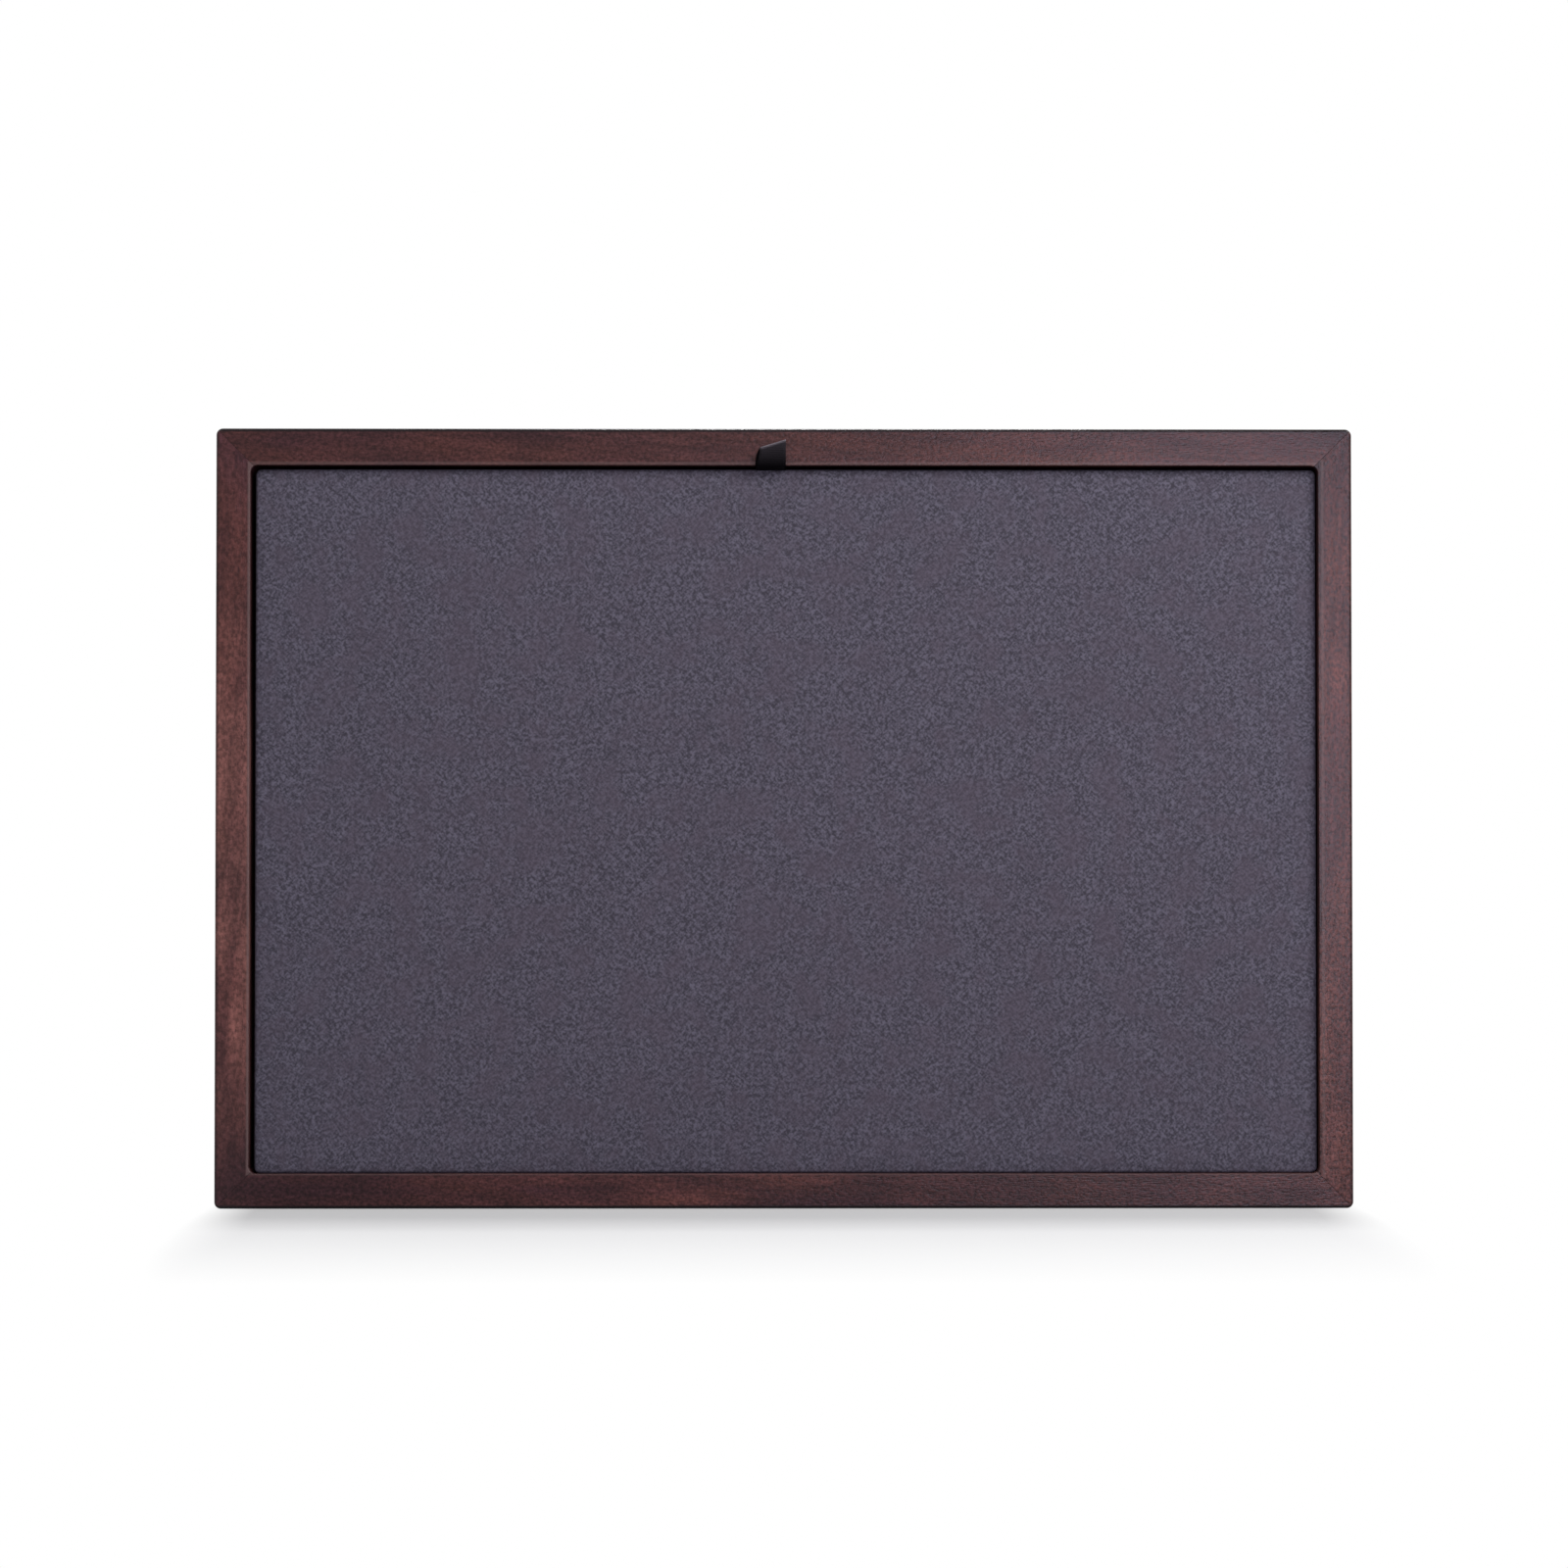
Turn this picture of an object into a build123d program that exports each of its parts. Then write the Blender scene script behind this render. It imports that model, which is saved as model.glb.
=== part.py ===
from build123d import *
from math import cos, radians, sin, sqrt, tan
import os

# A framed display tray standing on its long lower edge, in millimetres.
# X runs to the right, Y from the front to the back, Z up.
# The origin is on the lower face of the bottom rail, at its middle.

# Tray
tray_width = 350.0
tray_height = 240.0
tray_depth = 30.0
rail_width = 10.5
corner_radius = 2.5
well_corner_radius = 1.5
outer_ease = 1.0
inner_ease = 0.8
back_ease = 0.6

# Base of the well, from the back: felt, base board, lining
felt_thickness = 0.8
base_thickness = 3.0
lining_thickness = 1.2
rebate_width = 5.5
rebate_corner_radius = 2.0
base_clearance = 0.3
lining_clearance = 0.3

# Loose tongues across the mitres
spline_thickness = 2.4
spline_wall = 1.6
spline_front_cover = 6.0
spline_back_cover = 2.5
spline_clearance = 0.1

# Headless pins through the base board
pin_radius = 0.6
pin_length = 14.0
pin_clearance = 0.05
pins_on_long_rail = 4
pins_on_short_rail = 3

# Pad
recess = 2.5
gap_left = 2.1
gap_right = 1.2
gap_top = 2.1
seat_gap = 0.3
back_gap = 0.3
cover_thickness = 0.8
hem_width = 20.0
face_board_thickness = 3.0
back_board_thickness = 1.5
board_corner_radius = 0.7
wrap_clearance = 0.1
backing_thickness = 1.3
backing_margin = 4.0
backing_corner_radius = 2.0

# Pull ribbon
ribbon_width = 9.2
ribbon_middle = -4.2
ply = 0.35
ply_slit = 0.1
tail_length = 15.0
tail_bend_radius = 0.9
pocket_clearance = 0.1
hinge_standoff = 0.6
loop_run = 2.9
loop_rise = 15.0
loop_lean_left = 66.0
loop_lean_right = 70.0
loop_leg_left = 5.7
loop_leg_right = 8.1
loop_elbow_width = 0.95
loop_fold_width = 1.2
elbow_radius_front = 1.5
elbow_radius_back = 0.8
fold_radius_share = 0.45

# Places that follow from the sizes
front_y = -tray_depth / 2
back_y = tray_depth / 2
middle_z = tray_height / 2
well_width = tray_width - 2 * rail_width
well_height = tray_height - 2 * rail_width
rebate_depth = base_thickness + felt_thickness
ledge_y = back_y - rebate_depth
board_back_y = back_y - felt_thickness
well_floor_y = ledge_y - lining_thickness

pad_width = well_width - gap_left - gap_right
pad_height = well_height - gap_top - seat_gap
pad_x = (gap_left - gap_right) / 2
pad_z = rail_width + seat_gap + pad_height / 2
pad_top = pad_z + pad_height / 2
pad_face_y = front_y + recess
pad_back_y = well_floor_y - back_gap
hem_back_y = pad_back_y - backing_thickness
boards_back_y = hem_back_y - cover_thickness
boards_front_y = pad_face_y + cover_thickness
foam_front_y = boards_front_y + face_board_thickness
foam_back_y = boards_back_y - back_board_thickness

ribbon_thickness = 2 * ply + ply_slit
hinge_y = pad_face_y - hinge_standoff
hinge_z = pad_top + ribbon_thickness / 2


def facing_front(y):
    """The upright plane at depth y that looks towards the front of the tray."""
    return Plane.XZ.offset(-y)


def pin_circles(radius, y):
    """A circle for each pin along the ledges of the long and the short rails, at depth y."""
    ledge_width = well_width + rebate_width
    ledge_height = well_height + rebate_width
    long_pitch = well_width / pins_on_long_rail
    short_pitch = well_height / pins_on_short_rail
    with BuildSketch(facing_front(y)) as circles:
        with Locations((0, middle_z)):
            with GridLocations(long_pitch, ledge_height, pins_on_long_rail, 2):
                Circle(radius)
            with GridLocations(ledge_width, short_pitch, 2, pins_on_short_rail):
                Circle(radius)
    return circles.sketch


def plate(x, z, width, height, radius, rear, front):
    """A flat plate with round corners, from depth rear to depth front."""
    with BuildPart() as blank:
        with BuildSketch(facing_front(rear)):
            with Locations((x, z)):
                RectangleRounded(width, height, radius)
        extrude(amount=rear - front)
    return blank.part


def save(part, name):
    part.label = name
    export_step(part, f"parts/{name}.step")


os.makedirs("parts", exist_ok=True)

# The rail moulding, as the closed ring that the four rails make together.
with BuildPart() as moulding:
    add(plate(0, middle_z, tray_width, tray_height, corner_radius, back_y, front_y))
    add(
        plate(0, middle_z, well_width, well_height, well_corner_radius, back_y, front_y),
        mode=Mode.SUBTRACT,
    )
    add(
        plate(
            0,
            middle_z,
            well_width + 2 * rebate_width,
            well_height + 2 * rebate_width,
            rebate_corner_radius,
            back_y,
            ledge_y,
        ),
        mode=Mode.SUBTRACT,
    )
    rim = moulding.faces().filter_by(Axis.Y).sort_by(Axis.Y)[0]
    fillet(rim.outer_wire().edges(), outer_ease)
    rim = moulding.faces().filter_by(Axis.Y).sort_by(Axis.Y)[0]
    fillet(rim.inner_wires()[0].edges(), inner_ease)
    heel = moulding.faces().filter_by(Axis.Y).sort_by(Axis.Y)[-1]
    chamfer(heel.outer_wire().edges(), back_ease)
    # Pilot holes for the pins, in the ledge.
    extrude(
        pin_circles(pin_radius + pin_clearance, ledge_y),
        amount=pin_length - base_thickness + pin_clearance,
        mode=Mode.SUBTRACT,
    )

# A loose tongue crosses each mitre at the middle of the rail's width.
spline_span = (rail_width / 2 - spline_wall) * sqrt(2) - spline_thickness / 2
spline_width = 2 * spline_span
spline_front_y = front_y + spline_front_cover
spline_back_y = ledge_y - spline_back_cover


def tongues(width, thickness, rear, front):
    """The four tongues, or the slots that hold them, one at each corner."""
    with BuildPart() as four:
        with BuildSketch(facing_front(rear)):
            for side_x in (-1, 1):
                for side_z in (-1, 1):
                    corner = (
                        side_x * (tray_width - rail_width) / 2,
                        middle_z + side_z * (tray_height - rail_width) / 2,
                    )
                    with Locations(corner):
                        Rectangle(width, thickness, rotation=-45 * side_x * side_z)
        extrude(amount=rear - front)
    return four.part


corner_splines = tongues(spline_width, spline_thickness, spline_back_y, spline_front_y)
spline_slots = tongues(
    spline_width + 2 * spline_clearance,
    spline_thickness + 2 * spline_clearance,
    spline_back_y + spline_clearance,
    spline_front_y - spline_clearance,
)
save(corner_splines, "corner_splines")


def rail(corners):
    """One rail: the part of the moulding inside its mitre lines, with its tongue slots."""
    with BuildPart() as piece:
        add(moulding.part)
        with BuildSketch(facing_front(back_y)):
            with BuildLine():
                Polyline(*corners, close=True)
            make_face()
        extrude(amount=tray_depth, mode=Mode.INTERSECT)
        add(spline_slots, mode=Mode.SUBTRACT)
    return piece.part


# The mitre lines run in from the corners at 45 degrees and meet at two peaks.
left_x = -tray_width / 2
right_x = tray_width / 2
left_peak = (left_x + middle_z, middle_z)
right_peak = (right_x - middle_z, middle_z)

top_rail = rail([(left_x, tray_height), (right_x, tray_height), right_peak, left_peak])
save(top_rail, "top_rail")

bottom_rail = rail([(left_x, 0), left_peak, right_peak, (right_x, 0)])
save(bottom_rail, "bottom_rail")

left_rail = rail([(left_x, 0), (left_x, tray_height), left_peak])
save(left_rail, "left_rail")

right_rail = rail([(right_x, 0), right_peak, (right_x, tray_height)])
save(right_rail, "right_rail")

# The base board lies on the ledge of the rebate, with a hole for each pin.
base_width = well_width + 2 * rebate_width - 2 * base_clearance
base_height = well_height + 2 * rebate_width - 2 * base_clearance
base_corner_radius = rebate_corner_radius - base_clearance
with BuildPart() as base_board:
    add(
        plate(0, middle_z, base_width, base_height, base_corner_radius, board_back_y, ledge_y)
    )
    extrude(
        pin_circles(pin_radius + pin_clearance, board_back_y),
        amount=base_thickness,
        mode=Mode.SUBTRACT,
    )
save(base_board.part, "base_board")

with BuildPart() as base_pins:
    extrude(pin_circles(pin_radius, board_back_y), amount=pin_length)
save(base_pins.part, "base_pins")

underside_felt = plate(
    0, middle_z, base_width, base_height, base_corner_radius, back_y, board_back_y
)
save(underside_felt, "underside_felt")

well_lining = plate(
    0,
    middle_z,
    well_width - 2 * lining_clearance,
    well_height - 2 * lining_clearance,
    well_corner_radius - lining_clearance,
    ledge_y,
    well_floor_y,
)
save(well_lining, "well_lining")

# The cover is wrapped round the boards and turned in at the back as a hem.
pocket_width = pad_width - 2 * cover_thickness
pocket_height = pad_height - 2 * cover_thickness
with BuildPart() as pad_cover:
    add(
        plate(
            pad_x,
            pad_z,
            pad_width,
            pad_height,
            board_corner_radius + cover_thickness,
            hem_back_y,
            pad_face_y,
        )
    )
    fillet(pad_cover.faces().sort_by(Axis.Y)[0].edges(), cover_thickness)
    fillet(pad_cover.faces().sort_by(Axis.Y)[-1].edges(), cover_thickness)
    add(
        plate(
            pad_x,
            pad_z,
            pocket_width,
            pocket_height,
            board_corner_radius,
            boards_back_y,
            boards_front_y,
        ),
        mode=Mode.SUBTRACT,
    )
    with BuildSketch(facing_front(hem_back_y)):
        with Locations((pad_x, pad_z)):
            Rectangle(pad_width - 2 * hem_width, pad_height - 2 * hem_width)
    extrude(amount=cover_thickness, mode=Mode.SUBTRACT)
save(pad_cover.part, "pad_cover")


def pad_layer(rear, front):
    """One stiff or soft layer inside the cover."""
    return plate(
        pad_x,
        pad_z,
        pocket_width - 2 * wrap_clearance,
        pocket_height - 2 * wrap_clearance,
        board_corner_radius,
        rear,
        front,
    )


face_board = pad_layer(foam_front_y, boards_front_y)
save(face_board, "face_board")

foam_core = pad_layer(foam_back_y, foam_front_y)
save(foam_core, "foam_core")

back_board = pad_layer(boards_back_y, foam_back_y)
save(back_board, "back_board")

# The backing sheet closes the back, with a shallow pocket for the ribbon's tails.
tail_foot_z = pad_top - tail_length
with BuildPart() as backing_sheet:
    add(
        plate(
            pad_x,
            pad_z,
            pad_width - 2 * backing_margin,
            pad_height - 2 * backing_margin,
            backing_corner_radius,
            pad_back_y,
            hem_back_y,
        )
    )
    with BuildSketch(facing_front(hem_back_y + ribbon_thickness + pocket_clearance)):
        with Locations((ribbon_middle, tail_foot_z - pocket_clearance)):
            Rectangle(
                ribbon_width + 2 * pocket_clearance,
                tail_length + pocket_clearance,
                align=(Align.CENTER, Align.MIN),
            )
    extrude(amount=ribbon_thickness + pocket_clearance, mode=Mode.SUBTRACT)
save(backing_sheet.part, "backing_sheet")

# The ribbon's two tails lie flat together over the top side and down the back.
tail_y = hem_back_y + ribbon_thickness / 2
with BuildPart() as ribbon_tails:
    with BuildSketch(Plane.YZ.offset(ribbon_middle)):
        with BuildLine() as tail_course:
            FilletPolyline(
                (pad_face_y, hinge_z),
                (tail_y, hinge_z),
                (tail_y, tail_foot_z),
                radius=tail_bend_radius,
            )
        trace(tail_course.line, line_width=ribbon_thickness)
    extrude(amount=ribbon_width / 2, both=True)
save(ribbon_tails.part, "ribbon_tails")


def loop_course(leg, lean):
    """Corners (y, z) of the ribbon's middle line: out of the gap, up, round the fold and back."""
    ply_offset = (ply + ply_slit) / 2
    along = (-cos(radians(lean)), sin(radians(lean)))
    across = (sin(radians(lean)), cos(radians(lean)))
    elbow_turn = radians((lean + loop_rise) / 2)
    front_elbow = (
        hinge_y - loop_run,
        hinge_z - ply_offset + loop_run * tan(radians(loop_rise)),
    )
    back_elbow = (
        front_elbow[0] + loop_elbow_width * sin(elbow_turn),
        front_elbow[1] + loop_elbow_width * cos(elbow_turn),
    )
    front_top = (front_elbow[0] + leg * along[0], front_elbow[1] + leg * along[1])
    back_top = (
        front_top[0] + loop_fold_width * across[0],
        front_top[1] + loop_fold_width * across[1],
    )
    return [
        (hinge_y, hinge_z - ply_offset),
        front_elbow,
        front_top,
        back_top,
        back_elbow,
        (hinge_y, hinge_z + ply_offset),
    ]


fold_radius = fold_radius_share * loop_fold_width
loop_radii = [elbow_radius_front, fold_radius, fold_radius, elbow_radius_back]
loop_ends = (
    (ribbon_middle - ribbon_width / 2, loop_leg_left, loop_lean_left),
    (ribbon_middle + ribbon_width / 2, loop_leg_right, loop_lean_right),
)

# The loop's fold slants up to the right, so its section changes from end to end.
with BuildPart() as ribbon_loop:
    for end_x, leg, lean in loop_ends:
        with BuildSketch(Plane.YZ.offset(end_x)):
            with BuildLine() as course:
                FilletPolyline(*loop_course(leg, lean), radius=loop_radii)
            trace(course.line, line_width=ply)
    loft(ruled=True)
save(ribbon_loop.part, "ribbon_loop")
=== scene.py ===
from math import cos, pi, radians, sin, tan

import bmesh
import bpy
from mathutils import Matrix, Vector


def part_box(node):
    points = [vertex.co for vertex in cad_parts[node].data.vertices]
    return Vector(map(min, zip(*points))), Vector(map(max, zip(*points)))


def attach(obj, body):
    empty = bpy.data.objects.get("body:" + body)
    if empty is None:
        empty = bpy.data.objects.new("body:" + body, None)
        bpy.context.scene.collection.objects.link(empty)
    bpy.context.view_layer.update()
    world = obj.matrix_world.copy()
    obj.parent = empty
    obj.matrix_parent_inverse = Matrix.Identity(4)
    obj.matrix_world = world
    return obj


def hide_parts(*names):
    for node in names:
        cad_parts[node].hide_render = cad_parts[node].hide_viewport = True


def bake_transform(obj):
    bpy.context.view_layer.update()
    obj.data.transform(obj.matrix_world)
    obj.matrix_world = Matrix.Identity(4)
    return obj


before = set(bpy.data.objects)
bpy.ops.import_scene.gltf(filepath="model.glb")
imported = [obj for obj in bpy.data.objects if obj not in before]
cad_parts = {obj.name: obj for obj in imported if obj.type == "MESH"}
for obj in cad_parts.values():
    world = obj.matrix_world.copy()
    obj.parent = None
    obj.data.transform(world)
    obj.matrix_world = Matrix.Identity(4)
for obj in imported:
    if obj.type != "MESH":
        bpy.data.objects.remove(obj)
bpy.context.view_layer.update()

# The tray's frame is four rails of dark stained walnut under a satin lacquer, mitred at the
# corners and glued round hidden tongues. They are milled as one moulding, with small eases and
# a rebate at the back, and a hairline groove stays where two rails meet.
tray_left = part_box("left_rail")[0].x
tray_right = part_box("right_rail")[1].x
tray_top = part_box("top_rail")[1].z
tray_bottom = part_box("bottom_rail")[0].z
tray_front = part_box("top_rail")[0].y
tray_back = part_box("top_rail")[1].y
ledge_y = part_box("base_board")[0].y
half_width = (tray_right - tray_left) / 2
half_height = (tray_top - tray_bottom) / 2
middle_z = (tray_top + tray_bottom) / 2
upright_width = 0.01045
level_width = 0.0110
rebate_width = 0.0058
outer_corner = 0.0020
well_corner = 0.0023
rebate_corner = 0.0020
outer_ease = 0.0008
inner_ease = 0.0003
back_ease = 0.0006
mitre_gap = 0.00001
mitre_ease = 0.00005
corner_steps = 7
ease_steps = 5
back_ease_steps = 2
mitre_ease_steps = 2
bridging_step = 0.1
# The well is milled this much below the middle of the frame.
well_drop = 0.0003


def round_off(bm, geom, radius, steps, affect="EDGES"):
    """Rounds edges, or single corners when it affects vertices."""
    bmesh.ops.bevel(
        bm,
        geom=geom,
        offset=radius,
        segments=steps,
        profile=0.5,
        affect=affect,
        material=-1,
    )


def rounded_rectangle(bm, across, up, radius, y):
    """An upright rectangle with round corners about the middle of the tray, as one face."""
    before = set(bm.faces)
    verts = bmesh.ops.create_grid(bm, x_segments=1, y_segments=1, size=1)["verts"]
    bmesh.ops.scale(bm, vec=(across, up, 1), verts=verts)
    bmesh.ops.rotate(bm, matrix=Matrix.Rotation(pi / 2, 3, "X"), verts=verts)
    bmesh.ops.translate(bm, vec=(0, y, middle_z), verts=verts)
    round_off(bm, verts, radius, corner_steps, affect="VERTICES")
    return (set(bm.faces) - before).pop()


def moulding_ring():
    """The closed ring that the four rails make together, loop by loop round its section."""
    bm = bmesh.new()
    well_width = half_width - upright_width
    well_height = half_height - level_width
    back_width = well_width + rebate_width
    back_height = well_height + rebate_width
    section = (
        (half_width, half_height, outer_corner, tray_front, 0),
        (half_width, half_height, outer_corner, tray_back, 0),
        (back_width, back_height, rebate_corner, tray_back, 0),
        (back_width, back_height, rebate_corner, ledge_y, 0),
        (well_width, well_height, well_corner, ledge_y, well_drop),
        (well_width, well_height, well_corner, tray_front, well_drop),
    )
    # The loops stand apart while they are bridged, because level loops would be bridged askew.
    loops = []
    for order, (across, up, radius, _, _) in enumerate(section):
        face = rounded_rectangle(bm, across, up, radius, order * bridging_step)
        loops.append(list(face.edges))
        bmesh.ops.delete(bm, geom=[face], context="FACES_ONLY")
    for edges, next_edges in zip(loops, loops[1:] + loops[:1]):
        bmesh.ops.bridge_loops(bm, edges=edges + next_edges)
    for order, (edges, (_, _, _, y, drop)) in enumerate(zip(loops, section)):
        verts = list({vert for edge in edges for vert in edge.verts})
        bmesh.ops.translate(bm, vec=(0, y - order * bridging_step, -drop), verts=verts)
    front_rim, back_rim, *_, well_rim = loops
    round_off(bm, front_rim, outer_ease, ease_steps)
    round_off(bm, well_rim, inner_ease, ease_steps)
    round_off(bm, back_rim, back_ease, back_ease_steps)
    bmesh.ops.recalc_face_normals(bm, faces=bm.faces)
    return bm


def finished_piece(name, bm, smooth_angle=35):
    """Makes a piece at the origin, smooth except across edges sharper than the angle."""
    mesh = bpy.data.meshes.new(name)
    bm.to_mesh(mesh)
    bm.free()
    mesh.shade_smooth()
    mesh.set_sharp_from_angle(angle=radians(smooth_angle))
    piece = bpy.data.objects.new(name, mesh)
    bpy.context.scene.collection.objects.link(piece)
    weighted = piece.modifiers.new("Flat faces stay flat", "WEIGHTED_NORMAL")
    weighted.keep_sharp = True
    return piece


def cut_rail(name, ring, ends):
    """One rail: the ring cut at the mitre at each end, closed there and eased."""
    bm = ring.copy()
    for corner_x, corner_z, away_x, away_z in ends:
        away = Vector((away_x, 0, away_z)).normalized()
        bmesh.ops.bisect_plane(
            bm,
            geom=bm.verts[:] + bm.edges[:] + bm.faces[:],
            dist=1e-7,
            plane_co=Vector((corner_x, 0, corner_z)) - away * mitre_gap,
            plane_no=away,
            clear_outer=True,
        )
    open_edges = [edge for edge in bm.edges if edge.is_boundary]
    caps = bmesh.ops.holes_fill(bm, edges=open_edges, sides=0)["faces"]
    cap_edges = [edge for cap in caps for edge in cap.edges]
    round_off(bm, cap_edges, mitre_ease, mitre_ease_steps)
    return finished_piece(name, bm)


def add_node(tree, kind, inputs=None, **settings):
    """A shader node with its settings, and its inputs set to values or linked to sockets."""
    made = tree.nodes.new("ShaderNode" + kind)
    for key, value in settings.items():
        setattr(made, key, value)
    for key, value in (inputs or {}).items():
        if isinstance(value, bpy.types.NodeSocket):
            tree.links.new(value, made.inputs[key])
        else:
            made.inputs[key].default_value = value
    return made


def new_material(name, roughness, specular):
    """A material and its tree, with the finish that is the same all over set on its shader."""
    material = bpy.data.materials.new(name)
    material.use_nodes = True
    shader = material.node_tree.nodes["Principled BSDF"]
    shader.inputs["Roughness"].default_value = roughness
    shader.inputs["Specular IOR Level"].default_value = specular
    return material, material.node_tree, shader


def spread(tree, value, low, high, to_low, to_high):
    """Maps one range of a value onto another."""
    inputs = {0: value, 1: low, 2: high, 3: to_low, 4: to_high}
    return add_node(tree, "MapRange", inputs).outputs["Result"]


def math(tree, operation, first, second=0.0):
    """One step of arithmetic on values or sockets."""
    return add_node(tree, "Math", {0: first, 1: second}, operation=operation).outputs[0]


def mix_colours(tree, factor, first, second, blend="MIX"):
    """Mixes two colours, each a value or a socket."""
    inputs = {0: factor, 6: first, 7: second}
    mixed = add_node(tree, "Mix", inputs, data_type="RGBA", blend_type=blend)
    return mixed.outputs[2]


def noise(tree, place, size, detail=2.0, roughness=0.5, turn=(0, 0, 0), shift=(0, 0, 0)):
    """Noise whose features have a size in metres along axes that may be turned."""
    inputs = {"Vector": place, "Scale": size, "Rotation": turn, "Location": shift}
    mapped = add_node(tree, "Mapping", inputs, vector_type="TEXTURE").outputs[0]
    inputs = {"Vector": mapped, "Scale": 1.0, "Detail": detail, "Roughness": roughness}
    return add_node(tree, "TexNoise", inputs).outputs["Fac"]


def shaded(tree, colour, shade):
    """A colour made lighter or darker by a factor."""
    grey = add_node(tree, "CombineColor", {0: shade, 1: shade, 2: shade}).outputs[0]
    return mix_colours(tree, 1.0, colour, grey, blend="MULTIPLY")


def lay_finish(tree, shader, colour, height, strength, depth):
    """Gives a shader its colour, and the fine relief of its surface."""
    tree.links.new(colour, shader.inputs["Base Color"])
    bump = add_node(tree, "Bump", {"Height": height, "Strength": strength, "Distance": depth})
    tree.links.new(bump.outputs[0], shader.inputs["Normal"])


walnut_dark = (0.0155, 0.0060, 0.0085, 1)
walnut_plum = (0.0480, 0.0165, 0.0195, 1)
walnut_red = (0.0850, 0.0280, 0.0238, 1)
walnut_amber = (0.1650, 0.0660, 0.0560, 1)
# The pale line along the well's edge is a painted highlight, partly lacquer worn thin.
edge_highlight_walnut = (0.1250, 0.0800, 0.0760, 1)
# A painted shade darkens the front's outer edge, and the same dark marks the stain in the
# mitres.
rim_shade_and_mitre_stain = (0.0060, 0.0035, 0.0045, 1)
rim_shade_width = 0.0012
upright_rim_shade_share = 0.45
level_rim_shade_share = 0.95
mitre_stain_width = 0.0003
mitre_stain_share = 0.35
# The painted highlight keeps its full share over this part of its width, and the painted shade
# before it goes this dark.
highlight_core = 0.6
edge_shade = 0.6
figure_slant = radians(5)
band_core = 0.35
# The mottle grows stronger between these places to the right, as a painted sheen.
fleck_grows_from = 0.02
fleck_grows_to = 0.11
sheen_fleck_growth = 1.2
side_fleck = 0.3
side_dullness = 0.32


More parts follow.
